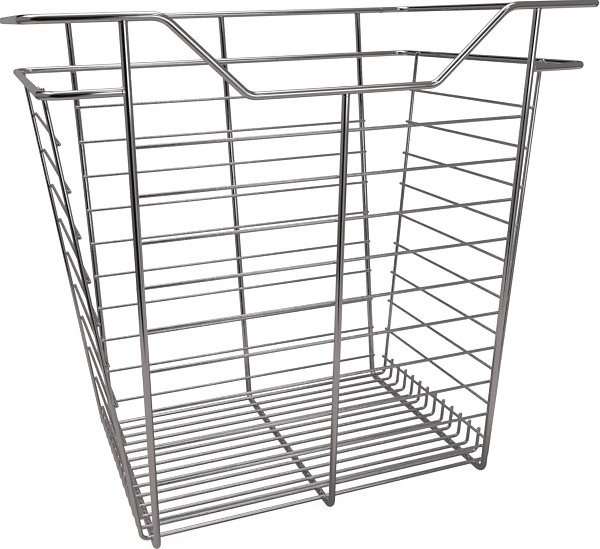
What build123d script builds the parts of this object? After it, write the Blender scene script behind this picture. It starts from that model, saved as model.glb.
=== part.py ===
from build123d import *

import math
import os

# Pull-out closet basket of round chrome-plated steel wire, in millimetres.
# X runs across the basket, Y from the front (handle) to the back, Z up.
# The origin is on the floor under the middle of the top rim.

# Wire sizes
heavy_wire = 6.3
middle_wire = 4.0
thin_wire = 3.0

# The round sections are drawn with flats up to this wide, which face the welds.
section_flat = 1.25
# A butt-welded end reaches this far past the near side of the wire that it meets.
butt_bite = 1.5

# Floor: width between the upright legs of the cross frames, and its wires
floor_width = 351.2
floor_wire_count = 12
floor_wire_bend = 5.0
floor_tip_rise = 3.2

# Side walls lean outwards from the floor to the hanger rim.
mouth_width = 434.0
cross_frame_bend = 6.5
cross_frame_stub = 1.7

# Three upright frames, front to back
frame_inset = 11.0
foot_bend = 10.0
cross_frame_gap = 1.8

# Hanger rim, by which the basket hangs on its two runners
hanger_height = 399.0
hanger_bend = 16.0

# Top rim
rim_rise = 49.6
rim_depth = 344.6
rim_overhang = 6.9
rim_bend = 16.0
front_setback = 51.7
back_setback = 37.6

# Pull handle, a low straight stretch of the top rim's front bar
handle_drop = 58.0
handle_margin = 26.6
handle_flare = 61.0
handle_top_bend = 20.0
handle_low_bend = 14.0

# Rows of thin wires, at the same heights on all four walls
level_count = 10
lowest_level = 30.5
highest_level_gap = 40.0
wall_wire_overhang = 2.5

# Heights of the axes of the wires
foot_height = heavy_wire / 2
cross_frame_height = heavy_wire + middle_wire / 2
floor_wire_height = heavy_wire + thin_wire / 2
rim_height = hanger_height + rim_rise
handle_height = rim_height - handle_drop
highest_level = hanger_height - highest_level_gap
level_pitch = (highest_level - lowest_level) / (level_count - 1)
levels = [lowest_level + row * level_pitch for row in range(level_count)]

# Places along X and Y
frame_x = floor_width / 2 - frame_inset
rim_front = -rim_depth / 2
rim_back = rim_depth / 2
foot_front = rim_front + front_setback
foot_back = rim_back - back_setback
cross_frame_inset = foot_bend + cross_frame_gap
cross_frame_front = foot_front + cross_frame_inset
cross_frame_back = foot_back - cross_frame_inset
floor_wire_pitch = (cross_frame_back - cross_frame_front) / (floor_wire_count + 1)

# Slopes of the walls from the vertical
frame_rise = rim_height - foot_height
front_lean = math.atan2(front_setback, frame_rise)
back_lean = math.atan2(back_setback, frame_rise)
side_rise = hanger_height - cross_frame_height
side_lean = math.atan2((mouth_width - floor_width) / 2, side_rise)


def front_y(height):
    """Y of the axis of the upright frames' front legs at a height."""
    return foot_front - (height - foot_height) * math.tan(front_lean)


def back_y(height):
    """Y of the axis of the upright frames' back legs at a height."""
    return foot_back + (height - foot_height) * math.tan(back_lean)


def side_x(height):
    """Half the width between the axes of the cross frames' legs at a height."""
    return floor_width / 2 + (height - cross_frame_height) * math.tan(side_lean)


def beside(first_wire, second_wire, lean=0.0):
    """Level distance between the axes of two welded wires on a leaning wall."""
    return (first_wire + second_wire) / 2 / math.cos(lean)


def make_wire(name, corners, bends, diameter, facing, closed=False, welded_to=()):
    """A wire bent at its corners, its butt ends cut to the wires that they meet.

    One flat of its section faces along facing at the wire's first end.
    """
    sides = 4 * math.ceil(math.pi * diameter / (4 * section_flat))
    with BuildPart() as piece:
        with BuildLine() as route:
            if bends:
                FilletPolyline(*corners, radius=bends, close=closed)
            else:
                Polyline(*corners)
        axis = route.wires()[0]
        with BuildSketch(Plane(origin=axis @ 0, x_dir=facing, z_dir=axis % 0)):
            RegularPolygon(diameter / 2, sides, major_radius=False, rotation=180 / sides)
        sweep(path=axis)
        for neighbour in welded_to:
            add(neighbour, mode=Mode.SUBTRACT)
    piece.part.label = name
    export_step(piece.part, f"parts/{name}.step")
    return piece.part


def hanger_half_width():
    """X of the hanger rim's side bars, outside the legs of the cross frames."""
    return side_x(hanger_height) + beside(heavy_wire, middle_wire, side_lean)


def make_top_rim():
    """Closed loop whose front bar dips in the plane of the front wall as the handle."""
    side = hanger_half_width() + rim_overhang
    mouth = frame_x - handle_margin
    grip = mouth - handle_flare
    low = front_y(handle_height)
    corners = [
        (side, rim_back, rim_height),
        (-side, rim_back, rim_height),
        (-side, rim_front, rim_height),
        (-mouth, rim_front, rim_height),
        (-grip, low, handle_height),
        (grip, low, handle_height),
        (mouth, rim_front, rim_height),
        (side, rim_front, rim_height),
    ]
    handle_bends = [handle_top_bend, handle_low_bend, handle_low_bend, handle_top_bend]
    bends = [rim_bend] * 3 + handle_bends + [rim_bend]
    return make_wire("top_rim", corners, bends, heavy_wire, (0, 0, 1), closed=True)


def make_upright_frame(name, x, front_top, top_rim):
    """Heavy wire down the front, along the floor and up the back to the top rim."""
    reach = heavy_wire / 2 - butt_bite
    front_end = front_top - reach
    back_end = rim_height - reach
    corners = [
        (x, front_y(front_end), front_end),
        (x, foot_front, foot_height),
        (x, foot_back, foot_height),
        (x, back_y(back_end), back_end),
    ]
    return make_wire(name, corners, foot_bend, heavy_wire, (1, 0, 0), welded_to=[top_rim])


def make_hanger_rim(outer_frames):
    """Heavy wire round the sides and back, its ends welded to the outer front legs."""
    side = hanger_half_width()
    front = front_y(hanger_height)
    back = back_y(hanger_height) - beside(heavy_wire, heavy_wire, back_lean)
    end = frame_x + heavy_wire / 2 - butt_bite
    corners = [
        (-end, front, hanger_height),
        (-side, front, hanger_height),
        (-side, back, hanger_height),
        (side, back, hanger_height),
        (side, front, hanger_height),
        (end, front, hanger_height),
    ]
    facing = (0, math.cos(side_lean), math.sin(side_lean))
    return make_wire("hanger_rim", corners, hanger_bend, heavy_wire, facing,
                     welded_to=outer_frames)


def make_cross_frame(name, y):
    """Middle wire across the floor and up both sides to the hanger rim."""
    top = hanger_height + cross_frame_stub
    foot = side_x(cross_frame_height)
    corners = [
        (-side_x(top), y, top),
        (-foot, y, cross_frame_height),
        (foot, y, cross_frame_height),
        (side_x(top), y, top),
    ]
    return make_wire(name, corners, cross_frame_bend, middle_wire, (0, 1, 0))


def make_floor_wire(name, y):
    """Thin wire across the floor, turned up outside the lowest wire of each side."""
    tip = lowest_level + floor_tip_rise
    outward = (beside(thin_wire, thin_wire, side_lean)
               - beside(middle_wire, thin_wire, side_lean))
    top = side_x(tip) + outward
    foot = side_x(floor_wire_height) + outward
    corners = [
        (-top, y, tip),
        (-foot, y, floor_wire_height),
        (foot, y, floor_wire_height),
        (top, y, tip),
    ]
    return make_wire(name, corners, floor_wire_bend, thin_wire, (0, 1, 0))


def make_row_wires(row, height):
    """The four straight thin wires of one level, inside the legs that carry them."""
    half_width = frame_x + wall_wire_overhang
    front = front_y(height) + beside(heavy_wire, thin_wire, front_lean)
    back = back_y(height) - beside(heavy_wire, thin_wire, back_lean)
    side = side_x(height) - beside(middle_wire, thin_wire, side_lean)
    near = cross_frame_front - wall_wire_overhang
    far = cross_frame_back + wall_wire_overhang
    ends = {
        "front": [(-half_width, front, height), (half_width, front, height)],
        "back": [(-half_width, back, height), (half_width, back, height)],
        "left": [(-side, near, height), (-side, far, height)],
        "right": [(side, near, height), (side, far, height)],
    }
    facing = {
        "front": (0, math.cos(front_lean), math.sin(front_lean)),
        "back": (0, -math.cos(back_lean), math.sin(back_lean)),
        "left": (math.cos(side_lean), 0, math.sin(side_lean)),
        "right": (-math.cos(side_lean), 0, math.sin(side_lean)),
    }
    for wall, points in ends.items():
        make_wire(f"{wall}_wall_wire_{row:02d}", points, None, thin_wire, facing[wall])


os.makedirs("parts", exist_ok=True)

top_rim = make_top_rim()
left_frame = make_upright_frame("upright_frame_left", -frame_x, rim_height, top_rim)
make_upright_frame("upright_frame_middle", 0, handle_height, top_rim)
right_frame = make_upright_frame("upright_frame_right", frame_x, rim_height, top_rim)
make_hanger_rim([left_frame, right_frame])

make_cross_frame("cross_frame_front", cross_frame_front)
make_cross_frame("cross_frame_back", cross_frame_back)

for number in range(1, floor_wire_count + 1):
    make_floor_wire(f"floor_wire_{number:02d}", cross_frame_front + number * floor_wire_pitch)

for row, height in enumerate(levels, start=1):
    make_row_wires(row, height)
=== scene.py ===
import math

import bpy
from mathutils import Matrix, Vector


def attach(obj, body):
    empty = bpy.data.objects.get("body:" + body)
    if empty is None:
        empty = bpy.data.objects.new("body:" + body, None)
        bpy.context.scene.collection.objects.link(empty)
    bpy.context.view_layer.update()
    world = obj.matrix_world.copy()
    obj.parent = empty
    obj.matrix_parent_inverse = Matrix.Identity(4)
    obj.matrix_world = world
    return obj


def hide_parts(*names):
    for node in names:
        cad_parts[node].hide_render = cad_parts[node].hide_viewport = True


# Pull-out closet basket of round chrome-plated wire, in metres.
# X runs across the basket, Y from the front (handle) to the back, Z up.
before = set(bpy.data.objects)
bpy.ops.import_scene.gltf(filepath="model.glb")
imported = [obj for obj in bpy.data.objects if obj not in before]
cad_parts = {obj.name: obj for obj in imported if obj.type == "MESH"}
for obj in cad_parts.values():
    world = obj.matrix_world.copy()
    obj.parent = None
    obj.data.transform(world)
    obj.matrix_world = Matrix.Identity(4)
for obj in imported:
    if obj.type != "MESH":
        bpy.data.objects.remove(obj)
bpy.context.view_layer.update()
body = "root"
mm = 0.001

# Wire sizes
heavy_wire = 6.3 * mm
middle_wire = 4.0 * mm
thin_wire = 3.0 * mm
# The floor wires are a little heavier than the rows on the walls.
# The solids give both the thin gauge.
floor_wire = 3.6 * mm

# Fineness of the wires
section_points = {heavy_wire: 28, middle_wire: 20, floor_wire: 18, thin_wire: 16}
bend_step = math.radians(9)
fewest_bend_steps = 3
end_rounding = 0.9 * mm
end_rounding_steps = 3
end_slack = end_rounding / 4
seam_gap = 0.02 * mm
wire_crease = math.radians(40)

# Weld beads: round-edged metal pressed out between crossing wires.
# The straight share is of a bead's thickness, and the end share of its width.
# An end face is one whose normal is this near to the bead's Z axis.
row_bead_radius = 2.1 * mm
row_bead_thickness = 1.2 * mm
frame_bead_radius = 2.7 * mm
frame_bead_thickness = 1.5 * mm
bead_points = 12
bead_straight_share = 0.3
bead_end_share = 0.68
bead_crease = math.radians(80)
end_facing = 0.9

# Butted ends: each reaches this far past the near side of the wire that it meets.
butt_bite = 1.5 * mm
butt_reach = heavy_wire / 2 - butt_bite

# Collars round the butted ends, and the ring of the top rim's butt weld.
# A ring is (rise, widening along X, widening along Y).
band_sink = 0.05 * mm
band_crease = math.radians(60)
collar_points = 24
collar_start = -heavy_wire / 2 - 1.2 * mm
collar_rings = [
    (0.2 * mm, 1.03, 1.03),
    (0.4 * mm, 1.03, 1),
    (0.4 * mm, 1.06, 0.97),
    (0.4 * mm, 1.08, 0.93),
    (0.4 * mm, 1.08, 0.88),
]
rim_butt_points = 28
rim_butt_start = -1.0 * mm
rim_butt_rings = [
    (0.1 * mm, 1.04, 1.04),
    (0.5 * mm, 1.04, 1.04),
    (0.8 * mm, 1, 1),
    (0.5 * mm, 0.96, 0.96),
    (0.1 * mm, 0.96, 0.96),
]
rim_butt_x = 195 * mm
# The ring sits this far inwards and down, which keeps it inside the solids' box.
rim_butt_inset = 0.25 * mm

# Floor
floor_width = 351.2 * mm
floor_wire_count = 12
floor_wire_bend = 5.0 * mm
floor_tip_rise = 3.2 * mm

# Side walls and the cross frames that carry them
mouth_width = 434.0 * mm
cross_frame_bend = 6.5 * mm
cross_frame_stub = 1.7 * mm
frame_inset = 11.0 * mm
foot_bend = 10.0 * mm
cross_frame_gap = 1.8 * mm

# Rims and pull handle
hanger_height = 399.0 * mm
hanger_bend = 16.0 * mm
rim_rise = 49.6 * mm
rim_depth = 344.6 * mm
rim_overhang = 6.9 * mm
rim_bend = 16.0 * mm
front_setback = 51.7 * mm
back_setback = 37.6 * mm
handle_drop = 58.0 * mm
handle_margin = 26.6 * mm
handle_flare = 61.0 * mm
handle_top_bend = 20.0 * mm
handle_low_bend = 14.0 * mm

# Rows of thin wires on the walls
level_count = 10
lowest_level = 30.5 * mm
highest_level_gap = 40.0 * mm
wall_wire_overhang = 2.5 * mm

# Heights of the axes of the wires
foot_height = heavy_wire / 2
cross_frame_height = heavy_wire + middle_wire / 2
floor_wire_height = heavy_wire + floor_wire / 2
rim_height = hanger_height + rim_rise
handle_height = rim_height - handle_drop
highest_level = hanger_height - highest_level_gap
level_pitch = (highest_level - lowest_level) / (level_count - 1)
levels = [lowest_level + row * level_pitch for row in range(level_count)]

# Places along X and Y
frame_x = floor_width / 2 - frame_inset
frame_places = (-frame_x, 0, frame_x)
rim_front = -rim_depth / 2
rim_back = rim_depth / 2
foot_front = rim_front + front_setback
foot_back = rim_back - back_setback
cross_frame_front = foot_front + foot_bend + cross_frame_gap
cross_frame_back = foot_back - foot_bend - cross_frame_gap
cross_places = (cross_frame_front, cross_frame_back)
floor_wire_pitch = (cross_frame_back - cross_frame_front) / (floor_wire_count + 1)
floor_wire_places = [cross_frame_front + number * floor_wire_pitch
                     for number in range(1, floor_wire_count + 1)]

# Slopes of the walls from the vertical
front_lean = math.atan2(front_setback, rim_height - foot_height)
back_lean = math.atan2(back_setback, rim_height - foot_height)
side_lean = math.atan2((mouth_width - floor_width) / 2, hanger_height - cross_frame_height)

# Directions: the three axes, from each wall to the inside, and up the legs
across = Vector((1, 0, 0))
along = Vector((0, 1, 0))
upward = Vector((0, 0, 1))
front_way = Vector((0, math.cos(front_lean), math.sin(front_lean)))
back_way = Vector((0, -math.cos(back_lean), math.sin(back_lean)))
left_way = Vector((math.cos(side_lean), 0, math.sin(side_lean)))
right_way = Vector((-math.cos(side_lean), 0, math.sin(side_lean)))
front_leg = Vector((0, -math.sin(front_lean), math.cos(front_lean)))
back_leg = Vector((0, math.sin(back_lean), math.cos(back_lean)))

# Studio: the white behind the floor, the light that falls on the floor, and its own glow
camera_white = 1.0
floor_light = 1.05
floor_glow = 0.84
floor_size = 60
print_gamma = 2.2
print_sharpening = 0.06


def front_y(height):
    """Y of the axis of the front legs at a height."""
    return foot_front - (height - foot_height) * math.tan(front_lean)


def back_y(height):
    """Y of the axis of the back legs at a height."""
    return foot_back + (height - foot_height) * math.tan(back_lean)


def side_x(height):
    """Half the width between the axes of the cross frames' legs at a height."""
    return floor_width / 2 + (height - cross_frame_height) * math.tan(side_lean)


def beside(first_wire, second_wire, lean=0.0):
    """Level distance between the axes of two welded wires on a leaning wall."""
    return (first_wire + second_wire) / 2 / math.cos(lean)


def front_row_y(height):
    """Y of the front wall's row at a height, inside the front legs."""
    return front_y(height) + beside(heavy_wire, thin_wire, front_lean)


def back_row_y(height):
    """Y of the back wall's row at a height, inside the back legs."""
    return back_y(height) - beside(heavy_wire, thin_wire, back_lean)


def side_row_x(height):
    """X of the side walls' rows at a height, inside the cross frames' legs."""
    return side_x(height) - beside(middle_wire, thin_wire, side_lean)


# Shapes

def name_in_hand(name):
    """Names the object in hand and its mesh."""
    piece = bpy.context.object
    piece.name = piece.data.name = name
    return piece


def apply_place():
    """Moves the place and turn of the object in hand into its mesh."""
    bpy.ops.object.transform_apply(location=True, rotation=True, scale=True)


def duplicate(piece):
    """A copy of a piece with its own mesh."""
    bpy.ops.object.select_all(action="DESELECT")
    piece.select_set(True)
    bpy.context.view_layer.objects.active = piece
    bpy.ops.object.duplicate(linked=False)
    return bpy.context.object


def extrude(move):
    """Draws out what is selected."""
    bpy.ops.mesh.extrude_region_move(TRANSFORM_OT_translate={"value": move})


def round_end(wire, point, direction, diameter):
    """Closes one end of a wire with a small flat whose edge is rounded off."""
    for vertex in wire.data.vertices:
        offset = vertex.co - point
        at_end = abs(offset.dot(direction)) < end_slack
        vertex.select = at_end and offset.length < diameter
    bpy.ops.object.mode_set(mode="EDIT")
    bpy.ops.mesh.select_mode(type="VERT")
    bpy.ops.mesh.edge_face_add()
    bpy.ops.mesh.bevel(offset=end_rounding, segments=end_rounding_steps, affect="EDGES")
    bpy.ops.mesh.select_all(action="DESELECT")
    bpy.ops.object.mode_set(mode="OBJECT")


def bend_wire(name, diameter, corners, bends=(), closed=False):
    """A round wire: a circle drawn out along its runs and spun round its bends."""
    corners = [Vector(corner) for corner in corners]
    start = (corners[-1] + corners[0]) / 2 if closed else corners[0]
    end = start if closed else corners[-1]
    turns = corners if closed else corners[1:-1]
    after = corners[1:] + corners[:1] if closed else corners[2:]
    heading = ((turns[0] if turns else end) - start).normalized()

    bpy.ops.object.select_all(action="DESELECT")
    bpy.ops.mesh.primitive_circle_add(
        vertices=section_points[diameter], radius=diameter / 2, location=start,
        rotation=heading.to_track_quat("Z", "Y").to_euler())
    wire = name_in_hand(name)
    apply_place()
    bpy.ops.object.mode_set(mode="EDIT")
    bpy.ops.mesh.select_mode(type="VERT")
    bpy.ops.mesh.select_all(action="SELECT")

    place = start
    for corner, following, radius in zip(turns, after, bends):
        onward = (following - corner).normalized()
        turn = heading.angle(onward)
        reach = radius * math.tan(turn / 2)
        bend_start = corner - heading * reach
        axis = heading.cross(onward).normalized()
        extrude(bend_start - place)
        bpy.ops.mesh.spin(
            steps=max(fewest_bend_steps, round(turn / bend_step)), angle=-turn,
            center=bend_start + axis.cross(heading) * radius, axis=axis)
        place = corner + onward * reach
        heading = onward
    extrude(end - place)
    bpy.ops.mesh.select_all(action="SELECT")
    if closed:
        bpy.ops.mesh.remove_doubles(threshold=seam_gap)
    bpy.ops.mesh.select_all(action="DESELECT")
    bpy.ops.object.mode_set(mode="OBJECT")
    if not closed:
        round_end(wire, start, (corners[1] - start).normalized(), diameter)
        round_end(wire, end, heading, diameter)
    bpy.ops.object.mode_set(mode="EDIT")
    bpy.ops.mesh.select_all(action="SELECT")
    bpy.ops.mesh.normals_make_consistent(inside=False)
    bpy.ops.object.mode_set(mode="OBJECT")
    bpy.ops.object.shade_smooth_by_angle(angle=wire_crease)
    return wire


def copy_wire(wire, name, move):
    """A copy of a wire with its own mesh, moved along."""
    duplicate(wire)
    copy = name_in_hand(name)
    bpy.ops.transform.translate(value=move)
    apply_place()
    return copy


def weld_bead(name, radius, thickness):
    """A low button with round edges, drawn out of a short cylinder towards both wires."""
    bpy.ops.object.select_all(action="DESELECT")
    bpy.ops.mesh.primitive_cylinder_add(
        vertices=bead_points, radius=radius, depth=thickness * bead_straight_share)
    bead = name_in_hand(name)
    rise = thickness * (1 - bead_straight_share) / 2
    for way in (1, -1):
        bpy.ops.object.mode_set(mode="EDIT")
        bpy.ops.mesh.select_mode(type="FACE")
        bpy.ops.mesh.select_all(action="DESELECT")
        bpy.ops.object.mode_set(mode="OBJECT")
        for face in bead.data.polygons:
            face.select = face.normal.z * way > end_facing
        bpy.ops.object.mode_set(mode="EDIT")
        extrude((0, 0, way * rise))
        bpy.ops.transform.resize(
            value=(bead_end_share, bead_end_share, 1), center_override=(0, 0, 0))
        bpy.ops.object.mode_set(mode="OBJECT")
    bpy.ops.object.shade_smooth_by_angle(angle=bead_crease)
    return bead


def weld_band(name, points, start, rings):
    """A closed band round the Z axis: a disc drawn up ring by ring from its start."""
    bpy.ops.object.select_all(action="DESELECT")
    bpy.ops.mesh.primitive_circle_add(
        vertices=points, radius=heavy_wire / 2 - band_sink, location=(0, 0, start),
        fill_type="NGON")
    band = name_in_hand(name)
    apply_place()
    bpy.ops.object.mode_set(mode="EDIT")
    bpy.ops.mesh.select_mode(type="FACE")
    bpy.ops.mesh.select_all(action="SELECT")
    for rise, widen_x, widen_y in rings:
        extrude((0, 0, rise))
        bpy.ops.transform.resize(value=(widen_x, widen_y, 1), center_override=(0, 0, 0))
    bpy.ops.mesh.select_all(action="SELECT")
    bpy.ops.mesh.normals_make_consistent(inside=False)
    bpy.ops.object.mode_set(mode="OBJECT")
    bpy.ops.object.shade_smooth_by_angle(angle=band_crease)
    return band


def weld_place(axis_point, way, reach, line):
    """Where a weld goes: a reach along way from a wire's axis, with its Z along way."""
    return Vector(axis_point) + way * reach, way, line


def join_welds(model, name, places):
    """Copies of a weld, one at each place, joined into one piece.

    A place is (point, the direction of the weld's Z, the direction of its X).
    """
    copies = []
    for point, up, line in places:
        copy = duplicate(model)
        turn = Matrix((line, up.cross(line), up)).transposed().to_4x4()
        copy.matrix_world = Matrix.Translation(point) @ turn
        apply_place()
        copies.append(copy)
    bpy.ops.object.select_all(action="DESELECT")
    for copy in copies:
        copy.select_set(True)
    bpy.context.view_layer.objects.active = copies[0]
    bpy.ops.object.join()
    piece = name_in_hand(name)
    piece.data.materials.clear()
    piece.data.materials.append(weld_chrome)
    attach(piece, body)


def finish_wire(wire, solid, material):
    """Gives a wire its chrome and lets it stand for its solid."""
    wire.data.materials.clear()
    wire.data.materials.append(material)
    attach(wire, body)
    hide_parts(solid)


# Materials

def node(tree, kind, place, inputs=None, **settings):
    """A new node at a place, with its settings and the values of its inputs."""
    made = tree.nodes.new(kind)
    made.location = place
    for key, value in settings.items():
        setattr(made, key, value)
    for key, value in (inputs or {}).items():
        made.inputs[key].default_value = value
    return made


def plating_group():
    """Chrome over drawn wire: long soft ripples, a fine haze and faint pits."""
    tree = bpy.data.node_groups.new("chrome_plating", "ShaderNodeTree")
    sockets = {"Ripple Scale": 90.0, "Ripple Height": 0.2, "Haze Low": 0.04, "Haze High": 0.12}
    for name, value in sockets.items():
        socket = tree.interface.new_socket(
            name=name, in_out="INPUT", socket_type="NodeSocketFloat")
        socket.default_value = value
    for name in ("Bright Tint", "Dull Tint"):
        socket = tree.interface.new_socket(
            name=name, in_out="INPUT", socket_type="NodeSocketColor")
        socket.default_value = (0.8, 0.8, 0.8, 1)
    for name, kind in (("Tint", "Color"), ("Roughness", "Float"), ("Normal", "Vector")):
        tree.interface.new_socket(name=name, in_out="OUTPUT", socket_type="NodeSocket" + kind)
    given = node(tree, "NodeGroupInput", (-900, 0))
    out = node(tree, "NodeGroupOutput", (600, 0))
    where = node(tree, "ShaderNodeTexCoord", (-900, -300))
    ripple = node(tree, "ShaderNodeTexNoise", (-600, 100), {"Detail": 1.0, "Roughness": 0.4})
    haze = node(tree, "ShaderNodeTexNoise", (-600, -200), {"Scale": 60.0, "Detail": 3.0})
    pits = node(tree, "ShaderNodeTexNoise", (-600, -500), {"Scale": 900.0, "Detail": 2.0})
    for texture in (ripple, haze, pits):
        tree.links.new(where.outputs["Object"], texture.inputs["Vector"])
    tree.links.new(given.outputs["Ripple Scale"], ripple.inputs["Scale"])
    rough = node(tree, "ShaderNodeMapRange", (-300, -200), {"From Min": 0.35, "From Max": 0.65})
    tree.links.new(haze.outputs["Fac"], rough.inputs["Value"])
    tree.links.new(given.outputs["Haze Low"], rough.inputs["To Min"])
    tree.links.new(given.outputs["Haze High"], rough.inputs["To Max"])
    tint = node(tree, "ShaderNodeMix", (-300, 300), data_type="RGBA")
    tree.links.new(haze.outputs["Fac"], tint.inputs["Factor"])
    tree.links.new(given.outputs["Bright Tint"], tint.inputs["A"])
    tree.links.new(given.outputs["Dull Tint"], tint.inputs["B"])
    fine = node(tree, "ShaderNodeBump", (-100, -500), {"Strength": 0.03, "Distance": 0.0002})
    tree.links.new(pits.outputs["Fac"], fine.inputs["Height"])
    wave = node(tree, "ShaderNodeBump", (200, -300), {"Distance": 0.001})
    tree.links.new(given.outputs["Ripple Height"], wave.inputs["Strength"])
    tree.links.new(ripple.outputs["Fac"], wave.inputs["Height"])
    tree.links.new(fine.outputs["Normal"], wave.inputs["Normal"])
    tree.links.new(tint.outputs["Result"], out.inputs["Tint"])
    tree.links.new(rough.outputs["Result"], out.inputs["Roughness"])
    tree.links.new(wave.outputs["Normal"], out.inputs["Normal"])
    return tree


def chrome(name, bright, dull, ripple_scale, ripple_height, haze_low, haze_high):
    """One finish of the chrome plating."""
    material = bpy.data.materials.new(name)
    material.use_nodes = True
    tree = material.node_tree
    shader = tree.nodes["Principled BSDF"]
    shader.inputs["Metallic"].default_value = 1.0
    finish = {"Ripple Scale": ripple_scale, "Ripple Height": ripple_height,
              "Haze Low": haze_low, "Haze High": haze_high,
              "Bright Tint": (*bright, 1), "Dull Tint": (*dull, 1)}
    plated = node(tree, "ShaderNodeGroup", (-400, 0), finish, node_tree=plating)
    tree.links.new(plated.outputs["Tint"], shader.inputs["Base Color"])
    tree.links.new(plated.outputs["Roughness"], shader.inputs["Roughness"])
    tree.links.new(plated.outputs["Normal"], shader.inputs["Normal"])
    return material


plating = plating_group()
heavy_chrome = chrome(
    "heavy_chrome_wire", bright=(0.86, 0.845, 0.85), dull=(0.76, 0.74, 0.745),
    ripple_scale=70, ripple_height=0.10, haze_low=0.03, haze_high=0.09)
middle_chrome = chrome(
    "middle_chrome_wire", bright=(0.84, 0.825, 0.83), dull=(0.74, 0.72, 0.725),
    ripple_scale=90, ripple_height=0.12, haze_low=0.05, haze_high=0.12)
thin_chrome = chrome(
    "thin_chrome_wire", bright=(0.79, 0.775, 0.78), dull=(0.69, 0.675, 0.68),
    ripple_scale=190, ripple_height=0.24, haze_low=0.24, haze_high=0.36)
weld_chrome = chrome(
    "dull_chrome_weld", bright=(0.86, 0.845, 0.85), dull=(0.60, 0.585, 0.59),
    ripple_scale=420, ripple_height=0.35, haze_low=0.06, haze_high=0.22)

# Top rim with the pull handle
hanger_side = side_x(hanger_height) + beside(heavy_wire, middle_wire, side_lean)
rim_side = hanger_side + rim_overhang
handle_mouth = frame_x - handle_margin
handle_grip = handle_mouth - handle_flare
handle_y = front_y(handle_height)
handle_bends = [handle_top_bend, handle_low_bend, handle_low_bend, handle_top_bend]
top_rim = bend_wire(
    "chrome_top_rim", heavy_wire,
    [(rim_side, rim_back, rim_height),
     (-rim_side, rim_back, rim_height),
     (-rim_side, rim_front, rim_height),
     (-handle_mouth, rim_front, rim_height),
     (-handle_grip, handle_y, handle_height),
     (handle_grip, handle_y, handle_height),
     (handle_mouth, rim_front, rim_height),
     (rim_side, rim_front, rim_height)],
    [rim_bend] * 3 + handle_bends + [rim_bend], closed=True)
finish_wire(top_rim, "top_rim", heavy_chrome)

# Hanger rim
hanger_front = front_y(hanger_height)
hanger_back = back_y(hanger_height) - beside(heavy_wire, heavy_wire, back_lean)
hanger_rim = bend_wire(
    "chrome_hanger_rim", heavy_wire,
    [(-frame_x - butt_reach, hanger_front, hanger_height),
     (-hanger_side, hanger_front, hanger_height),
     (-hanger_side, hanger_back, hanger_height),
     (hanger_side, hanger_back, hanger_height),
     (hanger_side, hanger_front, hanger_height),
     (frame_x + butt_reach, hanger_front, hanger_height)],
    [hanger_bend] * 4)
finish_wire(hanger_rim, "hanger_rim", heavy_chrome)


def upright_frame(name, x, bar_height):
    """Heavy wire down the front from a bar, along the floor and up the back to the top rim."""
    front_end, back_end = bar_height - butt_reach, rim_height - butt_reach
    return bend_wire(
        name, heavy_wire,
        [(x, front_y(front_end), front_end),
         (x, foot_front, foot_height),
         (x, foot_back, foot_height),
         (x, back_y(back_end), back_end)],
        [foot_bend] * 2)


left_frame = upright_frame("chrome_upright_frame_left", -frame_x, rim_height)
right_frame = copy_wire(left_frame, "chrome_upright_frame_right", (2 * frame_x, 0, 0))
middle_frame = upright_frame("chrome_upright_frame_middle", 0, handle_height)
finish_wire(left_frame, "upright_frame_left", heavy_chrome)
finish_wire(right_frame, "upright_frame_right", heavy_chrome)
finish_wire(middle_frame, "upright_frame_middle", heavy_chrome)

# Cross frames
stub_top = hanger_height + cross_frame_stub
cross_foot = side_x(cross_frame_height)
front_cross = bend_wire(
    "chrome_cross_frame_front", middle_wire,
    [(-side_x(stub_top), cross_frame_front, stub_top),
     (-cross_foot, cross_frame_front, cross_frame_height),
     (cross_foot, cross_frame_front, cross_frame_height),
     (side_x(stub_top), cross_frame_front, stub_top)],
    [cross_frame_bend] * 2)
back_cross = copy_wire(
    front_cross, "chrome_cross_frame_back", (0, cross_frame_back - cross_frame_front, 0))
finish_wire(front_cross, "cross_frame_front", middle_chrome)
finish_wire(back_cross, "cross_frame_back", middle_chrome)

# Floor wires with their ends turned up outside the lowest rows
tip_height = lowest_level + floor_tip_rise
tip_shift = (beside(floor_wire, thin_wire, side_lean)
             - beside(middle_wire, thin_wire, side_lean))
tip_x = side_x(tip_height) + tip_shift
floor_bend_x = side_x(floor_wire_height) + tip_shift
first_place = floor_wire_places[0]
first_floor_wire = bend_wire(
    "chrome_floor_wire_01", floor_wire,
    [(-tip_x, first_place, tip_height),
     (-floor_bend_x, first_place, floor_wire_height),
     (floor_bend_x, first_place, floor_wire_height),
     (tip_x, first_place, tip_height)],
    [floor_wire_bend] * 2)
finish_wire(first_floor_wire, "floor_wire_01", thin_chrome)
for number, place in enumerate(floor_wire_places[1:], start=2):
    wire = copy_wire(
        first_floor_wire, f"chrome_floor_wire_{number:02d}", (0, place - first_place, 0))
    finish_wire(wire, f"floor_wire_{number:02d}", thin_chrome)

# Rows of thin wires on the four walls
row_half_width = frame_x + wall_wire_overhang
row_near = cross_frame_front - wall_wire_overhang
row_far = cross_frame_back + wall_wire_overhang
across_wire = bend_wire(
    "across_wire", thin_wire, [(-row_half_width, 0, 0), (row_half_width, 0, 0)])
along_wire = bend_wire("along_wire", thin_wire, [(0, row_near, 0), (0, row_far, 0)])
for row, height in enumerate(levels, start=1):
    walls = {
        "front": (across_wire, (0, front_row_y(height), height)),
        "back": (across_wire, (0, back_row_y(height), height)),
        "left": (along_wire, (-side_row_x(height), 0, height)),
        "right": (along_wire, (side_row_x(height), 0, height)),
    }
    for wall, (model, move) in walls.items():
        wire = copy_wire(model, f"chrome_{wall}_wall_wire_{row:02d}", move)
        finish_wire(wire, f"{wall}_wall_wire_{row:02d}", thin_chrome)

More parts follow.
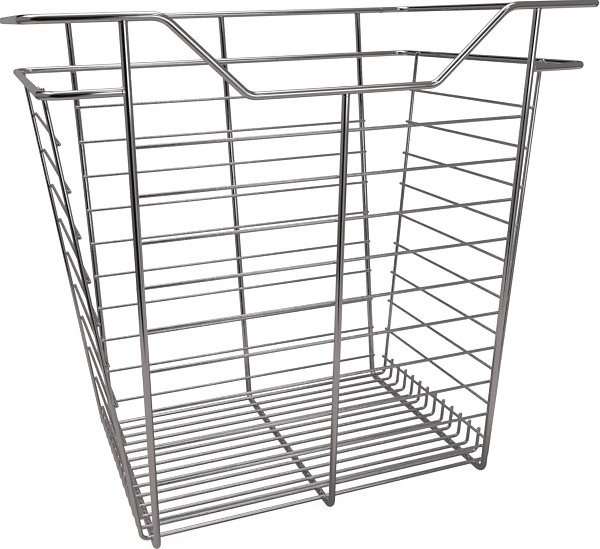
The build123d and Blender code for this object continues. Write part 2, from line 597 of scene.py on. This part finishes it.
# Welds of the rows and the floor wires, on the outer side of the rows
outward = -thin_wire / 2
bead_places = {"front": [], "back": [], "left": [], "right": [], "floor": []}
for height in levels:
    for x in frame_places:
        bead_places["front"].append(
            weld_place((x, front_row_y(height), height), front_way, outward, across))
        bead_places["back"].append(
            weld_place((x, back_row_y(height), height), back_way, outward, across))
    for y in cross_places:
        bead_places["left"].append(
            weld_place((-side_row_x(height), y, height), left_way, outward, along))
        bead_places["right"].append(
            weld_place((side_row_x(height), y, height), right_way, outward, along))
lowest_side = side_row_x(lowest_level)
for y in floor_wire_places:
    for x in frame_places:
        bead_places["floor"].append(weld_place((x, y, heavy_wire), upward, 0, along))
    bead_places["left"].append(
        weld_place((-lowest_side, y, lowest_level), left_way, outward, along))
    bead_places["right"].append(
        weld_place((lowest_side, y, lowest_level), right_way, outward, along))
row_bead = weld_bead("row_bead", row_bead_radius, row_bead_thickness)
for wall, places in bead_places.items():
    join_welds(row_bead, f"chrome_weld_beads_{wall}", places)

# Welds of the frames to each other and to the hanger rim
frame_bead_places = [weld_place((x, y, heavy_wire), upward, 0, along)
                     for x in frame_places for y in cross_places]
for y in cross_places:
    for x, way in ((-hanger_side, left_way), (hanger_side, right_way)):
        frame_bead_places.append(
            weld_place((x, y, hanger_height), way, heavy_wire / 2, along))
for x in frame_places:
    frame_bead_places.append(
        weld_place((x, hanger_back, hanger_height), back_way, -heavy_wire / 2, across))
frame_bead = weld_bead("frame_bead", frame_bead_radius, frame_bead_thickness)
join_welds(frame_bead, "chrome_weld_beads_frames", frame_bead_places)

# Collars where heavy wires are butted, and the butt weld of the top rim
collar = weld_band("butt_collar", collar_points, collar_start, collar_rings)
collar_places = [(Vector((x, back_y(rim_height), rim_height)), back_leg, across)
                 for x in frame_places]
collar_places += [(Vector((x, rim_front, rim_height)), front_leg, across)
                  for x in (-frame_x, frame_x)]
collar_places += [
    (Vector((0, handle_y, handle_height)), front_leg, across),
    (Vector((-frame_x, hanger_front, hanger_height)), across, front_leg),
    (Vector((frame_x, hanger_front, hanger_height)), -across, front_leg),
]
join_welds(collar, "chrome_weld_collars", collar_places)

rim_butt = weld_band("rim_butt", rim_butt_points, rim_butt_start, rim_butt_rings)
rim_butt_place = Vector((rim_butt_x, rim_back - rim_butt_inset, rim_height - rim_butt_inset))
join_welds(rim_butt, "chrome_rim_butt_weld", [(rim_butt_place, across, upward)])
for model in (across_wire, along_wire, row_bead, frame_bead, collar, rim_butt):
    bpy.data.objects.remove(model)


# Floor, studio light and camera

def pale_floor():
    """A wide pale ground that glows a little of its own."""
    bpy.ops.mesh.primitive_plane_add(size=floor_size)
    floor = bpy.context.object
    floor.name = "pale_floor"
    material = bpy.data.materials.new("pale_floor")
    material.use_nodes = True
    tree = material.node_tree
    shader = tree.nodes["Principled BSDF"]
    shader.inputs["Roughness"].default_value = 0.9
    shader.inputs["Specular IOR Level"].default_value = 0.1
    shader.inputs["Emission Color"].default_value = (1, 1, 1, 1)
    shader.inputs["Emission Strength"].default_value = floor_glow
    where = node(tree, "ShaderNodeTexCoord", (-700, 0))
    grain = node(tree, "ShaderNodeTexNoise", (-500, 0), {"Scale": 3.0, "Detail": 2.0})
    colour = node(tree, "ShaderNodeMix", (-250, 0), data_type="RGBA")
    colour.inputs["A"].default_value = (0.20, 0.20, 0.20, 1)
    colour.inputs["B"].default_value = (0.22, 0.22, 0.22, 1)
    tree.links.new(where.outputs["Object"], grain.inputs["Vector"])
    tree.links.new(grain.outputs["Fac"], colour.inputs["Factor"])
    tree.links.new(colour.outputs["Result"], shader.inputs["Base Color"])
    floor.data.materials.append(material)
    floor.visible_glossy = False


def glow_card(name, low, high, fades, colour, unevenness=0.0):
    """A glowing sheet with soft edges that only the chrome mirrors.

    It lies level if low and high are equally high, and otherwise stands facing the basket.
    """
    low, high = Vector(low), Vector(high)
    size = high - low
    level = size.z == 0
    axes = (0, 1) if level else (0, 2)
    bpy.ops.object.select_all(action="DESELECT")
    bpy.ops.mesh.primitive_plane_add(
        size=1, location=(low + high) / 2, rotation=(0 if level else math.pi / 2, 0, 0))
    card = bpy.context.object
    card.name = name
    card.scale = (size.x, size[axes[1]], 1)
    apply_place()
    for ray in ("camera", "diffuse", "shadow", "transmission", "volume_scatter"):
        setattr(card, "visible_" + ray, False)

    material = bpy.data.materials.new(name)
    material.use_nodes = True
    tree = material.node_tree
    tree.nodes.remove(tree.nodes["Principled BSDF"])
    out = tree.nodes["Material Output"]
    where = node(tree, "ShaderNodeTexCoord", (-1200, 0))
    split = node(tree, "ShaderNodeSeparateXYZ", (-1000, 0))
    tree.links.new(where.outputs["Object"], split.inputs["Vector"])
    mask = node(tree, "ShaderNodeMath", (-200, 0), operation="MULTIPLY")
    for factor, axis, fade in zip(mask.inputs, axes, fades):
        middle, half = (low[axis] + high[axis]) / 2, size[axis] / 2
        lower = -200 * axis
        offset = node(tree, "ShaderNodeMath", (-800, lower), {1: middle}, operation="SUBTRACT")
        away = node(tree, "ShaderNodeMath", (-600, lower), operation="ABSOLUTE")
        soft = node(tree, "ShaderNodeMapRange", (-400, lower),
                    {"From Min": half, "From Max": half - fade},
                    interpolation_type="SMOOTHSTEP")
        tree.links.new(split.outputs[axis], offset.inputs[0])
        tree.links.new(offset.outputs["Value"], away.inputs[0])
        tree.links.new(away.outputs["Value"], soft.inputs["Value"])
        tree.links.new(soft.outputs["Result"], factor)
    uneven = node(tree, "ShaderNodeTexNoise", (-800, 400), {"Scale": 5.0, "Detail": 3.0})
    strength = node(tree, "ShaderNodeMapRange", (-500, 400),
                    {"To Min": 1 - 2 * unevenness, "To Max": 1 + 2 * unevenness})
    glow = node(tree, "ShaderNodeEmission", (-200, 300), {"Color": (*colour, 1)})
    tree.links.new(where.outputs["Object"], uneven.inputs["Vector"])
    tree.links.new(uneven.outputs["Fac"], strength.inputs["Value"])
    tree.links.new(strength.outputs["Result"], glow.inputs["Strength"])
    clear = node(tree, "ShaderNodeBsdfTransparent", (-200, 150))
    mix = node(tree, "ShaderNodeMixShader", (50, 100))
    tree.links.new(mask.outputs["Value"], mix.inputs["Fac"])
    tree.links.new(clear.outputs["BSDF"], mix.inputs[1])
    tree.links.new(glow.outputs["Emission"], mix.inputs[2])
    tree.links.new(mix.outputs["Shader"], out.inputs["Surface"])
    card.data.materials.append(material)


def studio_world():
    """White to the camera and the floor; the chrome mirrors a grey room, dark at the camera."""
    world = bpy.data.worlds.new("studio")
    bpy.context.scene.world = world
    world.use_nodes = True
    tree = world.node_tree
    background = tree.nodes["Background"]
    where = node(tree, "ShaderNodeTexCoord", (-1700, 0))
    unit = node(tree, "ShaderNodeVectorMath", (-1500, 0), operation="NORMALIZE")
    tree.links.new(where.outputs["Generated"], unit.inputs[0])

    def painted(below, place, colour, turned, raised, edge, core):
        """Lays a colour over the room around a direction.

        It is turned right of the back and raised from the level, in degrees. The colour
        begins where the cosine of the angle to that direction is edge, and is full at core.
        """
        angle, height = math.radians(turned), math.radians(raised)
        direction = (math.sin(angle) * math.cos(height), math.cos(angle) * math.cos(height),
                     math.sin(height))
        dot = node(tree, "ShaderNodeVectorMath", (place - 500, 300), {1: direction},
                   operation="DOT_PRODUCT")
        tree.links.new(unit.outputs["Vector"], dot.inputs[0])
        soft = node(tree, "ShaderNodeMapRange", (place - 300, 300),
                    {"From Min": edge, "From Max": core}, interpolation_type="SMOOTHSTEP")
        tree.links.new(dot.outputs["Value"], soft.inputs["Value"])
        mix = node(tree, "ShaderNodeMix", (place, 0), {"B": (*colour, 1)}, data_type="RGBA")
        tree.links.new(soft.outputs["Result"], mix.inputs["Factor"])
        if isinstance(below, tuple):
            mix.inputs["A"].default_value = (*below, 1)
        else:
            tree.links.new(below, mix.inputs["A"])
        return mix.outputs["Result"]

    grey_room = (0.168, 0.157, 0.161)
    # A paler wall at the left, and the palest behind the basket
    room = painted(grey_room, -1000, (0.208, 0.194, 0.198),
                   turned=-57, raised=0, edge=0.16, core=0.52)
    room = painted(room, -800, (0.275, 0.256, 0.261), turned=14, raised=0, edge=0.71, core=0.98)
    # The dim ground round the table, and the dark round the camera
    room = painted(room, -600, (0.115, 0.105, 0.106), turned=0, raised=-90, edge=0.06, core=0.22)
    room = painted(room, -400, (0.010, 0.0095, 0.0095),
                   turned=-158, raised=0, edge=0.66, core=0.80)
    # A dark place high on the wall behind the basket, and a dim one at its right
    room = painted(room, -200, (0.01, 0.009, 0.009), turned=-20, raised=29, edge=0.93, core=0.98)
    room = painted(room, 0, (0.07, 0.066, 0.067), turned=34, raised=10, edge=0.95, core=0.99)
    path = node(tree, "ShaderNodeLightPath", (-600, 500))
    shown = node(tree, "ShaderNodeMapRange", (-400, 500),
                 {"To Min": camera_white, "To Max": floor_light})
    tree.links.new(path.outputs["Is Diffuse Ray"], shown.inputs["Value"])
    seen = node(tree, "ShaderNodeMix", (200, 0), data_type="RGBA")
    tree.links.new(shown.outputs["Result"], seen.inputs["A"])
    tree.links.new(path.outputs["Is Glossy Ray"], seen.inputs["Factor"])
    tree.links.new(room, seen.inputs["B"])
    tree.links.new(seen.outputs["Result"], background.inputs["Color"])
    background.location = (400, 0)


def overhead_lamp():
    """Plain soft light from above, which gives the floor its faint shadow."""
    bpy.ops.object.light_add(type="AREA", location=(0.1, 0.1, 1.8))
    lamp = bpy.context.object
    lamp.name = "overhead_lamp"
    lamp.data.shape = "RECTANGLE"
    lamp.data.size = 1.6
    lamp.data.size_y = 1.2
    lamp.data.energy = 1.5
    lamp.visible_glossy = False


def photo_camera():
    """The camera at the photograph's place, with a lens of about 50 mm on 36 mm of width."""
    data = bpy.data.cameras.new("camera")
    camera = bpy.data.objects.new("camera", data)
    bpy.context.scene.collection.objects.link(camera)
    data.sensor_fit = "HORIZONTAL"
    data.sensor_width = 36
    data.lens = 50.22
    data.shift_x = 0.0016
    data.shift_y = -0.0194
    place = (-0.2611, -0.75635, 0.4474)
    turned_right, tilted_down, rolled = map(math.radians, (20.34, 16.587, -1.679))
    camera.matrix_world = (
        Matrix.Translation(place)
        @ (Matrix.Rotation(-turned_right, 4, "Z")
           @ Matrix.Rotation(math.pi / 2 - tilted_down, 4, "X")
           @ Matrix.Rotation(rolled, 4, "Z")))
    bpy.context.scene.camera = camera


def sharpened_print():
    """A mild sharpening of the finished picture, on its printed tones."""
    scene = bpy.context.scene
    scene.use_nodes = True
    tree = scene.node_tree
    tree.nodes.clear()
    layers = node(tree, "CompositorNodeRLayers", (-600, 0))
    clipped = node(tree, "CompositorNodeMixRGB", (-400, 0), {"Fac": 0.0}, use_clamp=True)
    tones = node(tree, "CompositorNodeGamma", (-200, 0), {"Gamma": 1 / print_gamma})
    sharpen = node(tree, "CompositorNodeFilter", (0, 0), {"Fac": print_sharpening},
                   filter_type="SHARPEN")
    light = node(tree, "CompositorNodeGamma", (200, 0), {"Gamma": print_gamma})
    out = node(tree, "CompositorNodeComposite", (400, 0))
    tree.links.new(layers.outputs["Image"], clipped.inputs[1])
    tree.links.new(clipped.outputs["Image"], tones.inputs["Image"])
    tree.links.new(tones.outputs["Image"], sharpen.inputs["Image"])
    tree.links.new(sharpen.outputs["Image"], light.inputs["Image"])
    tree.links.new(light.outputs["Image"], out.inputs["Image"])


pale_floor()
studio_world()
glow_card("grey_table", low=(-0.80, -0.557, -0.0005), high=(1.3, 0.60, -0.0005),
          fades=(0.16, 0.16), colour=(0.345, 0.312, 0.310), unevenness=0.10)
glow_card("lower_front_card", low=(-0.14, -0.785, -0.25), high=(0.46, -0.785, 0.34),
          fades=(0.10, 0.10), colour=(0.30, 0.288, 0.288))
# A dim sheet under the basket that only the chrome mirrors: painted shadow of the basket on the
# table.
glow_card("shaded_table", low=(-0.20, -0.22, -0.0003), high=(0.28, 0.24, -0.0003),
          fades=(0.10, 0.10), colour=(0.13, 0.12, 0.12))
glow_card("front_soft_box", low=(-0.10, -0.78, 0.26), high=(0.42, -0.78, 0.62),
          fades=(0.10, 0.10), colour=(1.25, 1.235, 1.235))
glow_card("upper_front_card", low=(0.05, -0.78, 0.82), high=(0.253, -0.78, 1.80),
          fades=(0.04, 0.04), colour=(1.10, 1.08, 1.08))
glow_card("overhead_soft_box", low=(-1.62, -0.608, 1.6), high=(0.78, 0.86, 1.6),
          fades=(0.46, 0.24), colour=(1.18, 1.165, 1.17))
overhead_lamp()
photo_camera()
sharpened_print()
bpy.context.scene.view_settings.view_transform = "Standard"
